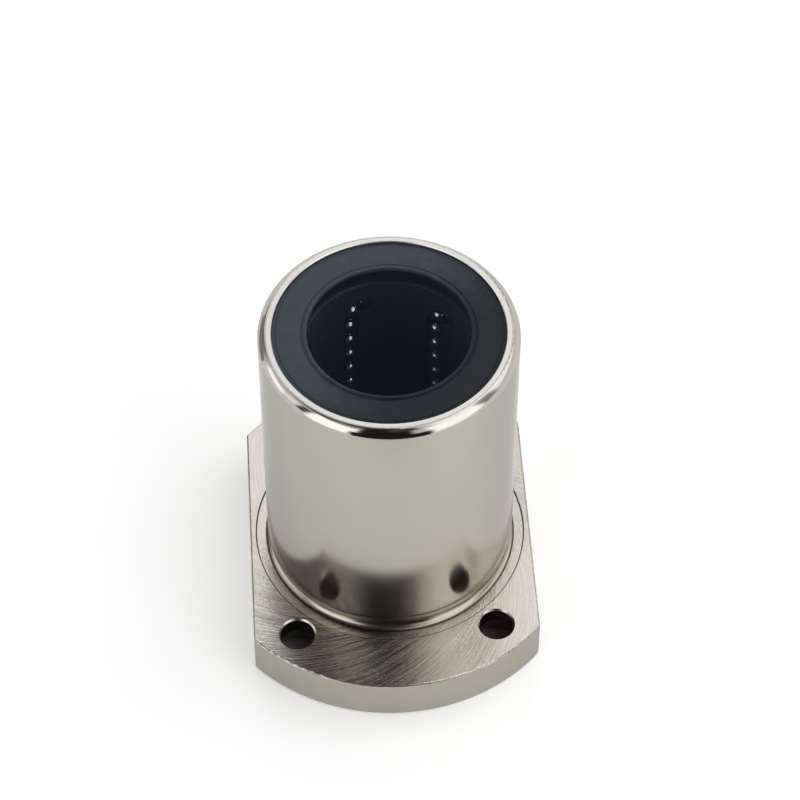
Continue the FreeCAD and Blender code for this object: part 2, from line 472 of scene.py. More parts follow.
@dataclass(frozen=True)
class NickelPlate(Finish):
    """Nickel plate over turned and ground steel, with each machined surface's own grain."""

    sizes: CylinderSizes
    edge: Zone = Zone((0.435, 0.415, 0.363), 0.42)
    body: Zone = Zone((0.458, 0.439, 0.387), 0.14)
    rim: Zone = Zone((0.50, 0.48, 0.44), 0.08)
    end_ring: Zone = Zone((0.635, 0.62, 0.60), 0.30)
    # Darker and browner than the body: partly oil and dirt in the corner at the body's foot, partly painted
    # shade that dims its reflection there.
    root: Zone = Zone((0.36, 0.338, 0.282), 0.20)
    lip: Zone = Zone((0.50, 0.485, 0.455), 0.26)
    flange: Zone = Zone((0.582, 0.547, 0.503), 0.12)
    # The near-black hole walls are painted shade inside the bolt holes.
    hole: Zone = Zone((0.085, 0.08, 0.07), 0.45)
    crease_shade: Colour = (0.09, 0.085, 0.075)
    burr: Colour = (0.27, 0.258, 0.235)
    edge_tint: float = 0.70
    crown_deg: float = 17.0
    root_lean_deg: float = 5.0
    foot_lean_deg: float = 30.0
    foot_h: float = 1.2 * MM
    strong_side_deg: float = -112.0
    strong_side_near: float = 12.0
    strong_side_far: float = 42.0
    swirl_deg: float = 34.0
    swirl_spread: float = 2.5
    stroke_w: float = 0.0042
    stroke_length: float = 0.16
    stroke_depth: float = 2.2e-5
    stroke_calm: float = 0.015
    stroke_full: float = 0.06
    contrast_light: float = 0.10
    contrast_hard: float = 0.38
    stroke_shine: float = 0.98
    stroke_gain: float = 1.1
    stroke_haze: float = 0.04
    main_share: float = 0.6
    brushed: float = 0.6
    ground_deg: float = 90.0
    burr_from: float = 0.42
    burr_full: float = 0.56
    burr_fade: float = 0.8
    turning_depth: float = 0.8e-6
    turning_share: float = 0.6
    grinding_depth: float = 0.5e-6
    grinding_haze: float = 0.08
    turning_run: float = 17.0 * MM
    grind_period: float = 0.16 * MM
    grain_period: float = 0.25 * MM
    cloud_period: float = 11.0 * MM
    cloud_shine: float = 0.12
    cloud_haze: float = 0.06

    def masks(self, x: Signal, r: Signal, z: Signal, hole_d: Signal) -> dict[str, Signal]:
        """Where each machined surface lies, as masks from 0 to 1.

        Args:
            x: The place along X.
            r: The distance from the shaft axis.
            z: The height above the flange's outer face.
            hole_d: The distance from the nearest mounting hole's axis.

        Returns:
            The masks by zone name.
        """
        size = self.sizes
        edge = size.edge
        rim_inner = size.body_r - (size.top - size.body_high)
        outside = r.ramp(size.seat_r, size.seat_r + 2 * edge)
        above_flange = z.ramp(size.flange_top - edge, size.flange_top - edge / 2)
        beyond_recess = r.ramp(size.recess_r - edge, size.recess_r)
        recess = r.ramp(size.crease_r - edge, size.crease_r) * (1 - beyond_recess)
        above_body = z.ramp(size.body_high - edge, size.body_high + edge)
        above_neck = z.ramp(size.body_low - edge, size.body_low)
        above_floor = z.ramp(size.flange_top - size.recess_low, size.flange_top - size.recess_high)
        past_rim = r.graph.math("MAXIMUM", r - size.flange_r, abs(x) - size.flat_x)
        past_edge = past_rim.ramp(-size.ease, -size.ease + edge)
        in_hole = hole_d.ramp(size.hole_r + size.hole_wall, size.hole_r)
        ease_foot = size.flange_top - size.hole_ease
        below_ease = z.ramp(ease_foot, ease_foot - size.hole_wall)
        by_hole = hole_d.ramp(size.hole_r + size.hole_ease + edge, size.hole_r + size.hole_ease)
        by_hole = by_hole * z.ramp(size.flange_top, size.flange_top - edge)
        past_edge = r.graph.math("MAXIMUM", past_edge, by_hole)
        return {
            "root": above_floor * (1 - above_neck) * (1 - beyond_recess) * outside,
            "body": above_neck * (1 - above_body) * outside,
            "rim": above_body * r.ramp(rim_inner - edge, rim_inner + edge),
            "end_ring": above_body * r.ramp(rim_inner + edge, rim_inner - edge) * outside,
            "lip": z.ramp(size.flange_top - size.ease, size.flange_top - size.ease + edge) * past_edge,
            "flange": (above_flange * beyond_recess + above_floor * recess) * (1 - above_neck),
            "hole": in_hole * below_ease,
        }

    def crease(self, r: Signal, z: Signal) -> Signal:
        """Thin dark rings of painted shade in the creases: at the body's foot and along the recess.

        Args:
            r: The distance from the shaft axis.
            z: The height above the flange's outer face.

        Returns:
            The rings as a mask from 0 to 1.
        """
        size = self.sizes
        foot = abs(r - size.crease_r).ramp(size.crease_half, size.crease_half / 2)
        step = abs(r - size.recess_r + size.step_half).ramp(size.step_half, size.step_half / 2)
        low = size.flange_top - size.crease_rise
        high = size.flange_top + size.crease_rise
        level = z.ramp(high, size.flange_top) * z.ramp(low, low + size.crease_rise / 3)
        return r.graph.math("MAXIMUM", foot, step) * level

    def crown(self, r: Signal, z: Signal) -> Signal:
        """How far the polished rim stands out of its flat chamfer, highest in the middle.

        Args:
            r: The distance from the shaft axis.
            z: The height above the flange's outer face.

        Returns:
            The height in metres.
        """
        size = self.sizes
        width = size.top - size.body_high
        place = ((z - size.body_high) + (size.body_r - r)) / (2 * width) - 0.5
        rise = math.tan(math.radians(self.crown_deg)) * width * math.sqrt(2)
        return place * place * -rise

    def swell(self, z: Signal) -> Signal:
        """How far the burnished root stands out of its ground arc, most of all at its foot.

        Args:
            z: The height above the flange's outer face.

        Returns:
            The height in metres.
        """
        size = self.sizes
        below = z.graph.math("MAXIMUM", size.body_low - z, 0.0)
        foot = z.graph.math("MAXIMUM", size.flange_top + self.foot_h - z, 0.0)
        bend = math.tan(math.radians(self.foot_lean_deg)) / (2 * self.foot_h)
        return below * math.tan(math.radians(self.root_lean_deg)) + foot * foot * bend

    def strong_side(self, point: Signal) -> Signal:
        """A mask on one side of the flange, where the strokes' colours show more contrast and the lip has
        fewer dark flecks.

        Args:
            point: The place on the piece.

        Returns:
            The mask, from 0 to 1.
        """
        nearness = point.graph.towards(point, self.strong_side_deg)
        return nearness.ramp(math.cos(math.radians(self.strong_side_far)), math.cos(math.radians(self.strong_side_near)))

    def strokes(self, point: Signal, r: Signal) -> Signal:
        """Grinding strokes that cross the flange's circles, at two angles close together.

        Args:
            point: The place on the piece.
            r: The distance from the shaft axis.

        Returns:
            The strokes, from 0 to 1.
        """
        graph = point.graph
        turn = graph.math("LOGARITHM", r / self.sizes.body_r, math.e)
        unit = graph.spoke(point)
        layers = []
        for lean in (-self.swirl_spread, self.swirl_spread):
            angle = turn / math.tan(math.radians(self.swirl_deg + lean))
            inputs = {"Vector": unit, "Angle": angle}
            spun = graph.out("ShaderNodeVectorRotate", {"rotation_type": "Z_AXIS"}, inputs, "Vector")
            across_x, across_y, _ = graph.split(spun)
            along = turn / self.stroke_length + lean
            where = graph.join(across_x / self.stroke_w, across_y / self.stroke_w, along)
            layers.append(graph.noise(where, detail=1.0))
        return layers[0] * self.main_share + layers[1] * (1 - self.main_share)

    def shade(self, graph: Graph, point: Signal) -> Signal:
        """Three grains of one plate: ground body, brushed flange and plain turned faces.

        Args:
            graph: The material's tree.
            point: The place on the piece, in metres.

        Returns:
            The surface shader.
        """
        size = self.sizes
        x, y, z = graph.split(point)
        r = (x * x + y * y) ** 0.5
        hole_x = abs(x) - size.hole_x
        hole_y = abs(y) - size.hole_y
        masks = self.masks(x, r, z, (hole_x * hole_x + hole_y * hole_y) ** 0.5)
        colour: Any = self.edge.colour
        roughness: Value = self.edge.roughness
        for name, mask in masks.items():
            zone = getattr(self, name)
            colour = graph.tint(mask, colour, zone.colour)
            roughness = mask.blend(roughness, zone.roughness)
        # Painted shade: dark lines in the creases at the body's foot and at the recess step.
        colour = graph.tint(self.crease(r, z), colour, self.crease_shade)

        cloud = graph.grain(point, self.cloud_period, detail=4.0, roughness=0.6)
        colour = graph.mottled(colour, cloud, self.cloud_shine)
        roughness = roughness + (cloud - 0.5) * self.cloud_haze

        run = 1 / self.turning_run
        grind = 1 / self.grind_period
        turned = graph.noise(graph.join(x * run, y * run, (z + r) * grind), detail=3.0, roughness=0.6)
        pebbled = graph.grain(point, self.grain_period, detail=3.0, roughness=0.6)
        rough = turned * self.turning_share + pebbled * (1 - self.turning_share)
        strokes = self.strokes(point, r)
        bright = strokes.ramp(0.5 + self.stroke_calm, 0.5 + self.stroke_full)
        dull = strokes.ramp(0.5 - self.stroke_calm, 0.5 - self.stroke_full)
        strong_side = self.strong_side(point)
        burr = pebbled.ramp(self.burr_from, self.burr_full) * (1 - strong_side * self.burr_fade)
        shape = self.crown(r, z) * masks["rim"] + self.swell(z) * masks["root"]
        colour = graph.tint(masks["lip"] * burr, colour, self.burr)

        shared = {"metallic": 1.0, "specular_tint": (self.edge_tint,) * 3 + (1.0,)}
        plain = graph.principled(
            **shared,
            base_color=colour,
            roughness=roughness,
            normal=graph.bump(shape + rough * self.turning_depth, 1.0),
        )
        ground = graph.principled(
            **shared,
            base_color=colour,
            roughness=roughness + (turned - 0.5) * self.grinding_haze,
            anisotropic=self.brushed,
            anisotropic_rotation=self.ground_deg / 360.0,
            normal=graph.bump(turned, self.grinding_depth),
        )
        contrast = strong_side.blend(self.contrast_light, self.contrast_hard)
        shine = graph.grey(self.stroke_shine + (bright * self.stroke_gain - dull) * contrast)
        brushed = graph.principled(
            **shared,
            base_color=graph.tint(1.0, colour, shine, "MULTIPLY"),
            roughness=roughness + bright * self.stroke_haze,
            anisotropic=self.brushed,
            anisotropic_rotation=(self.ground_deg + self.swirl_deg) / 360.0,
            normal=graph.bump(strokes, self.stroke_depth),
        )
        cylinder = graph.mix_shader(masks["body"], plain, ground)
        return graph.mix_shader(masks["flange"], cylinder, brushed)


@dataclass(frozen=True)
class MouldedRubber(Finish):
    """Black moulded rubber with a matt, faintly mottled skin."""

    mid_z: float
    face_drop: float = 0.25 * MM
    face_z: float = 29.2 * MM
    colour: Colour = (0.0075, 0.0085, 0.0105)
    painted_light_colour: Colour = (0.044, 0.049, 0.066)
    painted_light_deg: float = 139.0
    painted_light_from: float = -0.75
    painted_light_full: float = 0.55
    mottle_depth: float = 0.5
    roughness: float = 0.46
    mottle_period: float = 1.6 * MM
    grain_period: float = 0.14 * MM
    grain_share: float = 0.7
    grain_depth: float = 6.0e-6
    grain_haze: float = 0.2
    specular: float = 0.18

    def shade(self, graph: Graph, point: Signal) -> Signal:
        """A dark skin with painted light on one side of its face, and a fine moulded grain.

        Args:
            graph: The material's tree.
            point: The place on the piece, in metres.

        Returns:
            The surface shader.
        """
        mottle = graph.grain(point, self.mottle_period, detail=4.0, roughness=0.6)
        grain = graph.grain(point, self.grain_period, detail=2.0, roughness=0.6)
        across = graph.towards(point, self.painted_light_deg)
        _, _, z = graph.split(point)
        on_face = abs(z - self.mid_z).ramp(self.face_z - 2 * self.face_drop, self.face_z - self.face_drop)
        # Painted light and shade: the face's colour is lighter towards one side and dark on the far side,
        # with the mottle breaking up the border.
        painted_light = (across + (mottle - 0.5) * self.mottle_depth).ramp(self.painted_light_from, self.painted_light_full) * on_face
        skin = graph.tint(painted_light, self.colour, self.painted_light_colour)
        return graph.principled(
            base_color=graph.mottled(skin, mottle, self.mottle_depth),
            roughness=self.roughness + (grain - 0.5) * self.grain_haze,
            specular=self.specular,
            # Painted glow: the bore's even emission, though this part is no lamp.
            **PAINTED_BORE_GLOW,
            normal=graph.bump(grain * self.grain_share + mottle * (1 - self.grain_share), self.grain_depth),
        )


@dataclass(frozen=True)
class MouldedResin(Finish):
    """Black glass-smooth moulded resin with faint flow marks."""

    colour: Colour = (0.018, 0.022, 0.026)
    roughness: float = 0.28
    flow_period: Period = (2.5 * MM, 2.5 * MM, 10.0 * MM)
    flow_tone: float = 1.25
    flow_haze: float = 0.12
    flow_depth: float = 1.0e-6

    def shade(self, graph: Graph, point: Signal) -> Signal:
        """A nearly black skin whose gloss drifts along the moulding's flow.

        Args:
            graph: The material's tree.
            point: The place on the piece, in metres.

        Returns:
            The surface shader.
        """
        flow = graph.grain(point, self.flow_period, detail=4.0, roughness=0.55)
        return graph.principled(
            base_color=graph.tint(flow, self.colour, toned(self.colour, self.flow_tone)),
            roughness=self.roughness + (flow - 0.5) * self.flow_haze,
            normal=graph.bump(flow, self.flow_depth),
            # Painted glow: the bore's even emission, though this part is no lamp.
            **PAINTED_BORE_GLOW,
        )


@dataclass(frozen=True)
class StampedSteel(Finish):
    """Dull steel strip, stamped into rings, with a rolled grain across."""

    # Darker than bare steel: painted shade, for rings that sit in the shadow of the bore.
    colour: Colour = (0.16, 0.16, 0.165)
    roughness: float = 0.38
    roll_period: Period = (3.6 * MM, 0.12 * MM, 3.6 * MM)
    roll_tone: float = 0.85
    roll_haze: float = 0.15
    roll_depth: float = 1.0e-6

    def shade(self, graph: Graph, point: Signal) -> Signal:
        """Plain steel with fine rolling lines along X.

        Args:
            graph: The material's tree.
            point: The place on the piece, in metres.

        Returns:
            The surface shader.
        """
        lines = graph.grain(point, self.roll_period)
        return graph.principled(
            base_color=graph.tint(lines, self.colour, toned(self.colour, self.roll_tone)),
            metallic=1.0,
            roughness=self.roughness + (lines - 0.5) * self.roll_haze,
            # Painted glow: the bore's even emission, though this part is no lamp.
            **PAINTED_BORE_GLOW,
            normal=graph.bump(lines, self.roll_depth),
        )


@dataclass(frozen=True)
class PolishedSteel(Finish):
    """Lapped bearing steel, nearly a mirror, with a faint oil film."""

    # Darker than bare bearing steel: painted shade, for balls that lie in the shadow of the bore.
    colour: Colour = (0.30, 0.30, 0.31)
    roughness: float = 0.04
    film_period: float = 0.9 * MM
    film_from: float = 0.45
    film_full: float = 0.8
    film_tone: float = 0.9
    film_haze: float = 0.06

    def shade(self, graph: Graph, point: Signal) -> Signal:
        """A mirror whose gloss is broken a little by oil.

        Args:
            graph: The material's tree.
            point: The place on the piece, in metres.

        Returns:
            The surface shader.
        """
        film = graph.grain(point, self.film_period, detail=3.0)
        return graph.principled(
            base_color=graph.tint(film, self.colour, toned(self.colour, self.film_tone)),
            metallic=1.0,
            roughness=self.roughness + film.ramp(self.film_from, self.film_full) * self.film_haze,
            # Painted glow: the bore's even emission, though this part is no lamp.
            **PAINTED_BORE_GLOW,
        )


@dataclass(frozen=True)
class WhiteFloor(Finish):
    """The plain white sheet that the bearing stands on."""

    flange_r: float
    flat_x: float
    colour: Colour = (0.92, 0.92, 0.92)
    shaded: Colour = (0.50, 0.48, 0.46)
    glow: float = 0.295
    fibre_period: float = 4.0 * MM
    fibre_tone: float = 0.99
    shade_edge: float = 0.5 * MM
    roughness: float = 0.9
    specular: float = 0.1

    def shade(self, graph: Graph, point: Signal) -> Signal:
        """White paper with a faint tooth, lit a little from below where it is seen.

        Args:
            graph: The material's tree.
            point: The place on the piece, in metres.

        Returns:
            The surface shader.
        """
        path = graph.add("ShaderNodeLightPath")
        seen = Signal(graph, path.outputs["Is Camera Ray"])
        for way in ("Is Glossy Ray", "Is Transmission Ray"):
            seen = graph.math("MAXIMUM", seen, Signal(graph, path.outputs[way]))
        x, y, _ = graph.split(point)
        # Painted shade: under the bearing's footprint the paper takes a darker colour and loses its glow.
        under = ((x * x + y * y) ** 0.5).ramp(self.flange_r, self.flange_r - self.shade_edge)
        under = under * abs(x).ramp(self.flat_x, self.flat_x - self.shade_edge)
        fibre = graph.grain(point, self.fibre_period)
        paper = graph.tint(fibre, self.colour, toned(self.colour, self.fibre_tone))
        return graph.principled(
            base_color=graph.tint(under, paper, self.shaded),
            roughness=self.roughness,
            specular=self.specular,
            emission_color=graph.grey(seen * (1 - under)),
            emission_strength=self.glow,
        )


def new_piece(name: str, mesh: bpy.types.Mesh) -> bpy.types.Object:
    """Put a mesh in the scene as an object at the origin.

    Args:
        name: The object's name.
        mesh: Its mesh, already in place.

    Returns:
        The new object.
    """
    piece = bpy.data.objects.new(name, mesh)
    bpy.context.scene.collection.objects.link(piece)
    return piece


def dressed_piece(name: str, shape: bmesh.types.BMesh, finish: Finish) -> bpy.types.Object:
    """Turn a finished shape into a dressed object, and free the shape.

    Args:
        name: The object's name.
        shape: The shape, already in place.
        finish: Its finish.

    Returns:
        The new object.
    """
    mesh = bpy.data.meshes.new(name)
    shape.to_mesh(mesh)
    shape.free()
    mesh.materials.append(finish.material())
    return new_piece(name, mesh)


def hide_from_camera(piece: bpy.types.Object) -> None:
    """Make a stage piece that only reflections show.

    Args:
        piece: The piece.
    """
    piece.visible_camera = False
    piece.visible_diffuse = False
    piece.visible_shadow = False


def dress_node(node: str, finish: Finish) -> None:
    """Give a CAD node a finish of the scene's own.

    Args:
        node: The node's name.
        finish: The finish.
    """
    for slot in frame["nodes"][node].material_slots:
        slot.material = finish.material()
    LOG.info("%s dressed in %s", node, finish.name)


@dataclass
class Corner:
    """One corner of a turned section: its radius, height and how much it is rounded."""

    r: float
    z: float
    round: float


@dataclass
class ShaftSeal:
    """A moulded rubber ring in one end of the cylinder, with a rounded bead along its lip."""

    node: str
    upwards: bool
    finish: MouldedRubber
    segments: int = 192
    arc_steps: int = 6
    bead_w: float = 0.64 * MM
    bead_rise: float = 0.2 * MM
    margin_w: float = 0.6 * MM
    margin_drop: float = 0.2 * MM
    lip_length: float = 0.6 * MM
    undercut: float = 0.7 * MM
    groove_w: float = 0.32 * MM
    groove_depth: float = 0.14 * MM
    cone: float = 0.06 * MM
    soft: float = 0.09 * MM

    def section(self) -> list[Corner]:
        """The ring's section as corners in order, for the end that faces up.

        Returns:
            The corners, from the lip's foot outwards along the back and home over the face.
        """
        low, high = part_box(self.node)
        lip_r = mount("shaft_bore")["dims"]["r_mm"] * MM
        out_r = high.x
        back_r = lip_r + self.undercut
        thick = high.z - low.z
        face = thick - self.bead_rise
        margin = face - self.margin_drop
        margin_r = out_r - self.margin_w
        bead_r = lip_r + self.bead_w
        groove_r = bead_r + self.groove_w
        groove = face - self.groove_depth
        top = face + self.bead_rise
        lip_foot = face - self.lip_length
        return [
            Corner(lip_r, lip_foot, self.soft / 2),
            Corner(back_r, lip_foot - self.undercut, self.soft / 2),
            Corner(back_r, 0.0, self.soft / 2),
            Corner(out_r, 0.0, self.soft),
            Corner(out_r, margin, self.soft),
            Corner(margin_r, margin, self.soft / 2),
            Corner(margin_r - self.soft, face - self.cone, self.soft),
            Corner(groove_r, face, self.soft),
            Corner(groove_r - self.soft, groove, self.soft / 2),
            Corner(bead_r, groove, self.soft / 2),
            Corner(bead_r - self.soft, top, 2 * self.soft),
            Corner(lip_r, top, 2 * self.soft),
        ]

    def outline(self) -> list[tuple[float, float]]:
        """The section with its corners rounded by arcs.

        Returns:
            Points (radius, height) in order round the closed section.
        """
        corners = self.section()
        points = []
        for index, corner in enumerate(corners):
            here = Vector((corner.r, corner.z))
            before = corners[index - 1]
            after = corners[(index + 1) % len(corners)]
            to_before = (Vector((before.r, before.z)) - here).normalized()
            to_after = (Vector((after.r, after.z)) - here).normalized()
            opening = to_before.angle(to_after)
            reach = corner.round / math.tan(opening / 2)
            bisector = (to_before + to_after).normalized()
            centre = here + bisector * (corner.round / math.sin(opening / 2))
            start = here + to_before * reach - centre
            end = here + to_after * reach - centre
            sweep = start.angle_signed(end)
            for step in range(self.arc_steps + 1):
                turn = -sweep * step / self.arc_steps
                cos, sin = math.cos(turn), math.sin(turn)
                spoke = Vector((start.x * cos - start.y * sin, start.x * sin + start.y * cos))
                points.append(((centre + spoke).x, (centre + spoke).y))
        return points

    def build(self) -> None:
        """Turn the section about the shaft axis, in the place of the CAD node."""
        low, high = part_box(self.node)
        base = low.z if self.upwards else high.z
        way = 1.0 if self.upwards else -1.0
        outline = self.outline()
        shell = bmesh.new()
        rings = []
        for step in range(self.segments):
            angle = 2 * math.pi * step / self.segments
            cos, sin = math.cos(angle), math.sin(angle)
            rings.append([shell.verts.new((r * cos, r * sin, base + way * z)) for r, z in outline])
        for ring, beyond in zip(rings, rings[1:] + rings[:1]):
            for index in range(len(outline)):
                after = (index + 1) % len(outline)
                shell.faces.new((ring[index], beyond[index], beyond[after], ring[after]))
        bmesh.ops.recalc_face_normals(shell, faces=shell.faces)
        for face in shell.faces:
            face.smooth = True
        piece = dressed_piece(f"moulded_{self.node}", shell, self.finish)
        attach(piece, "housing")
        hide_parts(self.node)
        LOG.info("%s built with %d faces", piece.name, len(piece.data.polygons))


class Stretch(Enum):
    """The four stretches of a ball circuit, by the name that their nodes and bodies share."""

    LOADED = "loaded"
    RETURN = "return"
    UPPER_TURN = "upper_turn"
    LOWER_TURN = "lower_turn"


class BallTree:
    """A geometry node tree that sets balls along a straight row or round a half turn."""

    INPUTS = {
        "Count": "NodeSocketInt",
        "Ball Radius": "NodeSocketFloat",
        "Subdivisions": "NodeSocketInt",
        "First Centre": "NodeSocketVector",
        "Step": "NodeSocketVector",
        "Turn Radius": "NodeSocketFloat",
        "Across": "NodeSocketVector",
        "Along": "NodeSocketVector",
        "First Angle": "NodeSocketFloat",
        "Angle Step": "NodeSocketFloat",
        "Material": "NodeSocketMaterial",
    }

    def __init__(self) -> None:
        """Make the tree, with a named input for each size."""
        self.tree = bpy.data.node_groups.new("balls_along_a_stretch", "GeometryNodeTree")
        self.identifiers = {}
        interface = self.tree.interface
        graph = Graph(self.tree)
        for name, kind in self.INPUTS.items():
            item = interface.new_socket(name, in_out="INPUT", socket_type=kind)
            self.identifiers[name] = item.identifier
        interface.new_socket("Balls", in_out="OUTPUT", socket_type="NodeSocketGeometry")
        entry = graph.add("NodeGroupInput")
        given = {name: Signal(graph, entry.outputs[name]) for name in self.INPUTS}
        index = graph.out("GeometryNodeInputIndex", None, None, 0)
        angle = given["First Angle"] + index * given["Angle Step"]
        radius = given["Turn Radius"]
        across = graph.scaled(given["Across"], radius * graph.math("COSINE", angle))
        along = graph.scaled(given["Along"], radius * graph.math("SINE", angle))
        row = graph.vector("ADD", given["First Centre"], graph.scaled(given["Step"], index))
        place = graph.vector("ADD", row, graph.vector("ADD", across, along))
        points = graph.out("GeometryNodePoints", None, {"Count": given["Count"], "Position": place}, 0)
        ball = graph.out(
            "GeometryNodeMeshIcoSphere",
            None,
            {"Radius": given["Ball Radius"], "Subdivisions": given["Subdivisions"]},
            "Mesh",
        )
        smooth = graph.out("GeometryNodeSetShadeSmooth", None, {"Geometry": ball}, 0)
        placed = graph.out("GeometryNodeInstanceOnPoints", None, {"Points": points, "Instance": smooth}, 0)
        real = graph.out("GeometryNodeRealizeInstances", None, {"Geometry": placed}, 0)
        inputs = {"Geometry": real, "Material": given["Material"]}
        dressed = graph.out("GeometryNodeSetMaterial", None, inputs, 0)
        graph.add("NodeGroupOutput", None, {"Balls": dressed})

    def grow(self, name: str, values: dict[str, Any]) -> bpy.types.Object:
        """Run the tree and keep its result as a plain mesh.

        Args:
            name: The new object's name.
            values: A value for each named input.

        Returns:
            The object, with its modifier removed.
        """
        piece = new_piece(name, bpy.data.meshes.new(f"{name}_start"))
        modifier = piece.modifiers.new("balls", "NODES")
        modifier.node_group = self.tree
        for key, value in values.items():
            modifier[self.identifiers[key]] = value
        depsgraph = bpy.context.evaluated_depsgraph_get()
        start = piece.data
        piece.data = bpy.data.meshes.new_from_object(piece.evaluated_get(depsgraph), depsgraph=depsgraph)
        piece.data.name = name
        piece.modifiers.remove(modifier)
        bpy.data.meshes.remove(start)
        return piece


@dataclass
class BallCircuit:
    """One endless circuit of balls: a loaded row, a return row and two half turns."""

    number: int
    finish: PolishedSteel
    balls_per_turn: int = 3
    detail: int = 3
    joints: dict[str, dict] = field(default_factory=dict)
    across: Vector = field(init=False)
    upper_centre: Vector = field(init=False)
    lower_centre: Vector = field(init=False)
    pitch: float = field(init=False)
    turn_r: float = field(init=False)
    balls_per_row: int = field(init=False)
    ball_r: float = field(init=False)

    def __post_init__(self) -> None:
        """Read the circuit's rails from its own joints."""
        head = f"circuit_{self.number}_"
        named = {joint["name"]: joint for joint in frame["joints"]}
        for stretch in Stretch:
            self.joints[stretch.value] = named[f"{head}{stretch.value}_travel"]
        upper = self.joints[Stretch.UPPER_TURN.value]
        lower = self.joints[Stretch.LOWER_TURN.value]
        outwards = Vector(upper["axis"]).normalized()
        self.across = outwards.cross(Vector((0.0, 0.0, 1.0)))
        self.upper_centre = Vector(upper["pos_m"])
        self.lower_centre = Vector(lower["pos_m"])
        self.pitch = 2 * self.joints[Stretch.LOADED.value]["range_m"][1]
        self.turn_r = self.pitch * self.balls_per_turn / math.pi
        straight = (self.upper_centre - self.lower_centre).length
        self.balls_per_row = round(straight / self.pitch)
        low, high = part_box(f"{head}loaded_balls")
        self.ball_r = (high.z - low.z - (self.balls_per_row - 1) * self.pitch) / 2

    def values(self, stretch: Stretch) -> dict[str, Any]:
        """The tree's inputs for one stretch.

        Args:
            stretch: Which stretch of the circuit.

        Returns:
            A value for each named input.
        """
        up = Vector((0.0, 0.0, 1.0))
        row = stretch in (Stretch.LOADED, Stretch.RETURN)
        side = -1.0 if stretch in (Stretch.LOADED, Stretch.LOWER_TURN) else 1.0
        angle_step = math.pi / self.balls_per_turn
        if row:
            first = self.lower_centre + self.across * side * self.turn_r + up * self.pitch / 2
        elif stretch is Stretch.UPPER_TURN:
            first = self.upper_centre
        else:
            first = self.lower_centre
        way = 1.0 if stretch is Stretch.UPPER_TURN else -1.0
        return {
            "Count": self.balls_per_row if row else self.balls_per_turn,
            "Ball Radius": self.ball_r,
            "Subdivisions": self.detail,
            "First Centre": first,
            "Step": up * self.pitch if row else Vector(),
            "Turn Radius": 0.0 if row else self.turn_r,
            "Across": self.across,
            "Along": up * way,
            "First Angle": angle_step / 2,
            "Angle Step": angle_step,
            "Material": self.finish.material(),
        }

    def build(self, tree: BallTree) -> None:
        """Set the balls of all four stretches, each on its own body.

        Args:
            tree: The geometry node tree that places balls.
        """
        for stretch in Stretch:
            head = f"circuit_{self.number}_{stretch.value}"
            piece = tree.grow(f"{head}_lapped_balls", self.values(stretch))
            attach(piece, f"{head}_run")
            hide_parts(f"{head}_balls")
            LOG.info("%s built with %d faces", piece.name, len(piece.data.polygons))


@dataclass
class Patch:
    """A lit or unlit part of the light tent, seen from the bearing, with angles in degrees."""

    name: str
    azimuth: float
    half_width: float
    low: float
    high: float
    light: float
    soft: float = 4.0

    def mask(self, level: dict[str, Signal]) -> Signal:
        """Where the patch lies, as a mask from 0 to 1.

        Args:
            level: The view direction's east and north parts on the level, and its height.

        Returns:
            The mask.
        """
        turn = math.radians(self.azimuth)
        nearness = level["east"] * math.cos(turn) + level["north"] * math.sin(turn)
        inner = math.cos(math.radians(max(self.half_width - self.soft, 0.0)))
        outer = math.cos(math.radians(min(self.half_width + self.soft, 180.0)))
        above = [math.sin(math.radians(max(self.low + ease, -90.0))) for ease in (-self.soft, self.soft)]
        below = [math.sin(math.radians(min(self.high + ease, 90.0))) for ease in (self.soft, -self.soft)]
        height = level["height"]
        upright = height.ramp(*above)
        if self.high < 90.0:
            upright = upright * height.ramp(*below)
        if self.half_width >= 180.0:
            return upright
        return nearness.ramp(outer, inner) * upright


@dataclass(frozen=True)
class DullCard(Finish):
    """An unlit opening or a grey corner of the tent."""

    shade_of_grey: float
    fold_period: float = 1.0 / 12.0
    fold_depth: float = 0.5

    def shade(self, graph: Graph, point: Signal) -> Signal:
        """A dull surface with faint folds.

        Args:
            graph: The material's tree.
            point: The place on the piece, in metres.

        Returns:
            The surface shader.
        """
        folds = graph.grain(point, self.fold_period)
        return graph.principled(
            base_color=graph.grey((folds * self.fold_depth + 1) * self.shade_of_grey),
            roughness=1.0,
            specular=0.0,
        )


@dataclass
class Card:
    """A card that lies on the floor and stands up at its far edge, seen in reflections only."""

    name: str
    azimuth: float
    half_width: float
    near: float
    far: float
    top: float
    shade_of_grey: float

    def build(self, level: float) -> None:
        """Make the card's mesh.

        Args:
            level: The height that it lies at.
        """
        ahead = math.radians(self.azimuth)
        half = math.radians(self.half_width)
        rise = self.far * math.tan(math.radians(self.top))
        outline = bmesh.new()
        rows = []
        for reach, z in ((self.near, level), (self.far, level), (self.far, level + rise)):
            row = []
            for angle in (ahead - half, ahead + half):
                row.append(outline.verts.new((reach * math.cos(angle), reach * math.sin(angle), z)))
            rows.append(row)
        for near, far in zip(rows, rows[1:]):
            outline.faces.new((near[0], near[1], far[1], far[0]))
        finish = DullCard(f"{self.name}_shade", self.shade_of_grey)
        hide_from_camera(dressed_piece(self.name, outline, finish))


@dataclass(frozen=True)
class BulbGlow(Finish):
    """The bare glass of a lit bulb."""

    light: float

    def shade(self, graph: Graph, point: Signal) -> Signal:
        """Plain even light."""
        return graph.out("ShaderNodeEmission", None, {"Strength": self.light}, 0)


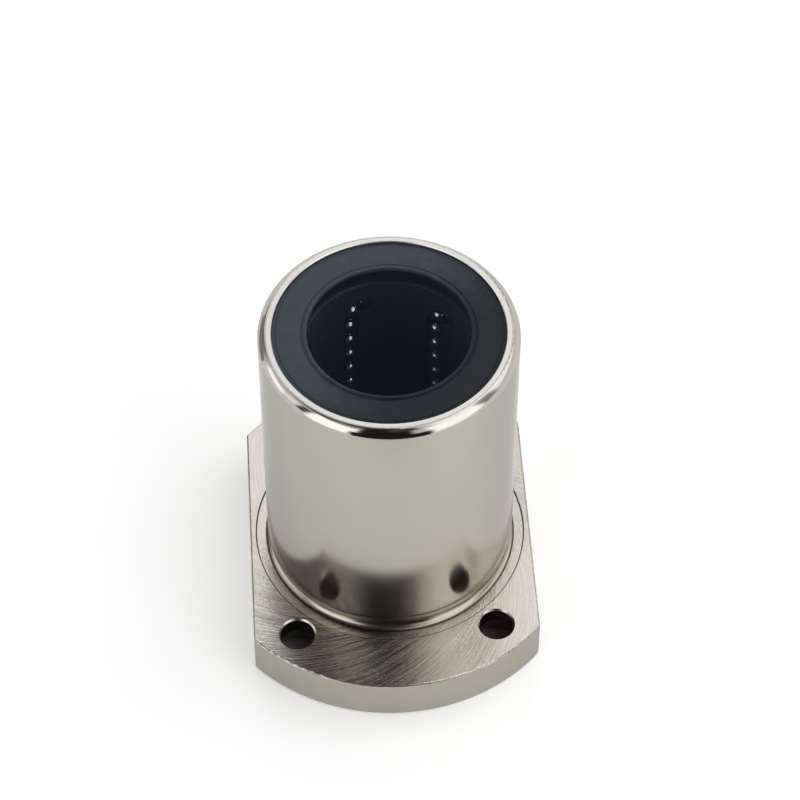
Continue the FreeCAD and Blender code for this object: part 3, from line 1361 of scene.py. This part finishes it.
@dataclass
class Bulb:
    """A small bulb above the bore, which the polished balls show as a bright point."""

    name: str = "bore_bulb"
    azimuth: float = -20.0
    elevation: float = 69.0
    distance: float = 120.0 * MM
    radius: float = 5.2 * MM
    detail: int = 3
    light: float = 36.0

    def build(self, above: Vector) -> None:
        """Hang the bulb where only reflections show it.

        Args:
            above: The point that its direction and distance are measured from.
        """
        turn = math.radians(self.azimuth)
        tilt = math.radians(self.elevation)
        level = math.cos(tilt)
        way = Vector((level * math.cos(turn), level * math.sin(turn), math.sin(tilt)))
        glass = bmesh.new()
        bmesh.ops.create_icosphere(glass, subdivisions=self.detail, radius=self.radius)
        bmesh.ops.translate(glass, verts=glass.verts, vec=above + way * self.distance)
        hide_from_camera(dressed_piece(self.name, glass, BulbGlow(f"{self.name}_glow", self.light)))


@dataclass
class Studio:
    """A white sheet inside a light tent, whose open front is dark, and the photograph's camera."""

    floor: WhiteFloor
    floor_r: float = 6.0
    floor_sides: int = 96
    floor_gap: float = 0.02 * MM
    card_lift: float = 0.2 * MM
    aim: Place = (2.897 * MM, 20.291 * MM, 16.181 * MM)
    camera_azimuth: float = -3.457
    camera_elevation: float = 51.619
    camera_distance: float = 495.24 * MM
    lens: float = 133.583
    sensor: float = 36.0
    tent: float = 0.85
    least_level: float = 0.001
    cards: tuple[Card, ...] = (
        Card("tent_front", -92.0, 28.0, 82.0 * MM, 700.0 * MM, 14.0, 0.02),
        Card("tent_corner", 142.0, 13.0, 330.0 * MM, 700.0 * MM, 12.5, 0.30),
    )
    bulb: Bulb = field(default_factory=Bulb)
    patches: tuple[Patch, ...] = (
        Patch("horizon", 0.0, 180.0, -90.0, 11.5, 1.0, 2.5),
        Patch("back lamp", 88.0, 20.0, 5.0, 34.0, 1.5, 10.0),
        Patch("back lamp, high", 88.0, 34.0, 36.0, 62.0, 1.25, 6.0),
        Patch("back left corner", 134.0, 15.0, 4.0, 46.0, 0.28, 6.0),
        Patch("left wall, high", -170.0, 54.0, 46.0, 76.0, 0.45, 5.0),
        Patch("left wall, darkest", -174.0, 28.0, 46.0, 76.0, 0.18, 6.0),
        Patch("left lamp, far half", 169.0, 11.0, 8.0, 26.0, 1.8, 3.0),
        Patch("left lamp, middle", -173.0, 7.0, 14.0, 34.0, 1.35, 3.0),
        Patch("left lamp, near half", -138.0, 19.0, 6.0, 46.0, 2.0),
        Patch("left wall, top", -150.0, 40.0, 57.0, 76.0, 0.06, 3.0),
        Patch("left front corner", -140.0, 22.0, -10.0, 4.0, 0.3, 3.0),
        Patch("left lamp, seam", -163.0, 4.0, 14.0, 40.0, 0.12, 2.0),
        Patch("right lamp", -40.0, 22.0, 10.0, 46.0, 1.9),
        Patch("right lamp, high", -10.0, 42.0, 44.0, 76.0, 1.75, 10.0),
        Patch("right wall", 14.0, 16.0, 18.0, 64.0, 1.6),
        Patch("right seam", -11.0, 6.0, 12.0, 38.0, 0.40, 3.0),
        Patch("right seam, high", -8.0, 6.0, 38.0, 58.0, 0.75, 3.0),
        Patch("far right lamp", 46.0, 17.0, 44.0, 62.0, 2.0),
        Patch("far right seam", 64.0, 9.0, 14.0, 40.0, 0.30, 4.0),
        Patch("back gap, high", 105.0, 24.0, 63.0, 80.0, 0.10, 3.0),
        Patch("roof opening", 0.0, 180.0, 77.0, 90.0, 0.15, 3.0),
        Patch("open front", -96.0, 21.5, -90.0, 90.0, 0.02, 3.0),
        Patch("open front, foot", -92.0, 31.0, -90.0, 27.0, 0.02, 3.0),
        Patch("open front, top", -80.0, 13.0, 47.0, 66.0, 0.08, 4.0),
    )

    def light(self) -> None:
        """Make the world: the tent's walls, its bright and dark patches and its dark front."""
        world = bpy.data.worlds.new("light_tent")
        bpy.context.scene.world = world
        world.use_nodes = True
        graph = Graph(world.node_tree)
        look = graph.out("ShaderNodeTexCoord", None, None, "Generated")
        x, y, height = graph.split(look)
        across = graph.math("MAXIMUM", (x * x + y * y) ** 0.5, self.least_level)
        level = {"east": x / across, "north": y / across, "height": height}
        walls: Value = self.tent
        for patch in self.patches:
            walls = patch.mask(level).blend(walls, patch.light)
            LOG.info("tent: %s at %.2f", patch.name, patch.light)
        camera = graph.out("ShaderNodeLightPath", None, None, "Is Camera Ray")
        seen = camera.blend(walls, 1.0)
        background = graph.out("ShaderNodeBackground", None, {"Color": graph.grey(seen)}, 0)
        graph.add("ShaderNodeOutputWorld", None, {"Surface": background})

    def lay_floor(self) -> None:
        """Lay the white sheet, and set out the cards and the bulb that only reflections show."""
        level = CAD_BOX[0].z - self.floor_gap
        sheet = bmesh.new()
        bmesh.ops.create_circle(sheet, cap_ends=True, radius=self.floor_r, segments=self.floor_sides)
        bmesh.ops.translate(sheet, verts=sheet.verts, vec=(0.0, 0.0, level))
        dressed_piece("floor_sheet", sheet, self.floor)
        for card in self.cards:
            card.build(level + self.card_lift)
        self.bulb.build(Vector((0.0, 0.0, CAD_BOX[1].z)))

    def place_camera(self) -> None:
        """Stand the camera where the photograph was taken."""
        lens = bpy.data.cameras.new("photo_camera")
        lens.lens = self.lens
        lens.sensor_width = self.sensor
        camera = bpy.data.objects.new("photo_camera", lens)
        bpy.context.scene.collection.objects.link(camera)
        turn = math.radians(self.camera_azimuth)
        tilt = math.radians(self.camera_elevation)
        level = math.cos(tilt)
        back = Vector((level * math.sin(turn), -level * math.cos(turn), math.sin(tilt)))
        camera.location = Vector(self.aim) + back * self.camera_distance
        camera.rotation_mode = "QUATERNION"
        camera.rotation_quaternion = (-back).to_track_quat("-Z", "Y")
        bpy.context.scene.camera = camera

    def build(self) -> None:
        """Set up the light, the floor and the camera."""
        bpy.context.scene.view_settings.view_transform = "Standard"
        self.light()
        self.lay_floor()
        self.place_camera()
        LOG.info("studio built")


def main() -> None:
    """Dress the bearing piece by piece, then set up the studio."""
    logging.basicConfig(level=logging.INFO, format="%(name)s: %(message)s")
    rubber = MouldedRubber("seal_rubber_moulded", (CAD_BOX[0].z + CAD_BOX[1].z) / 2)
    steel = StampedSteel("ring_steel_stamped")
    lapped = PolishedSteel("ball_steel_lapped")
    dress_node("flanged_outer_cylinder", NickelPlate("nickel_plate", CylinderSizes.from_frame()))
    dress_node("ball_retainer", MouldedResin("retainer_resin_moulded"))
    for node in ("upper_end_ring", "lower_end_ring"):
        dress_node(node, steel)
    for node, upwards in (("upper_seal", True), ("lower_seal", False)):
        ShaftSeal(node, upwards, rubber).build()
    tree = BallTree()
    circuits = sum(name.endswith("_loaded_run") for name in frame["bodies"])
    for number in range(1, circuits + 1):
        BallCircuit(number, lapped).build(tree)
    Studio(WhiteFloor("floor_white", CAD_BOX[1].y, CAD_BOX[1].x)).build()


if __name__ == "__main__":
    main()
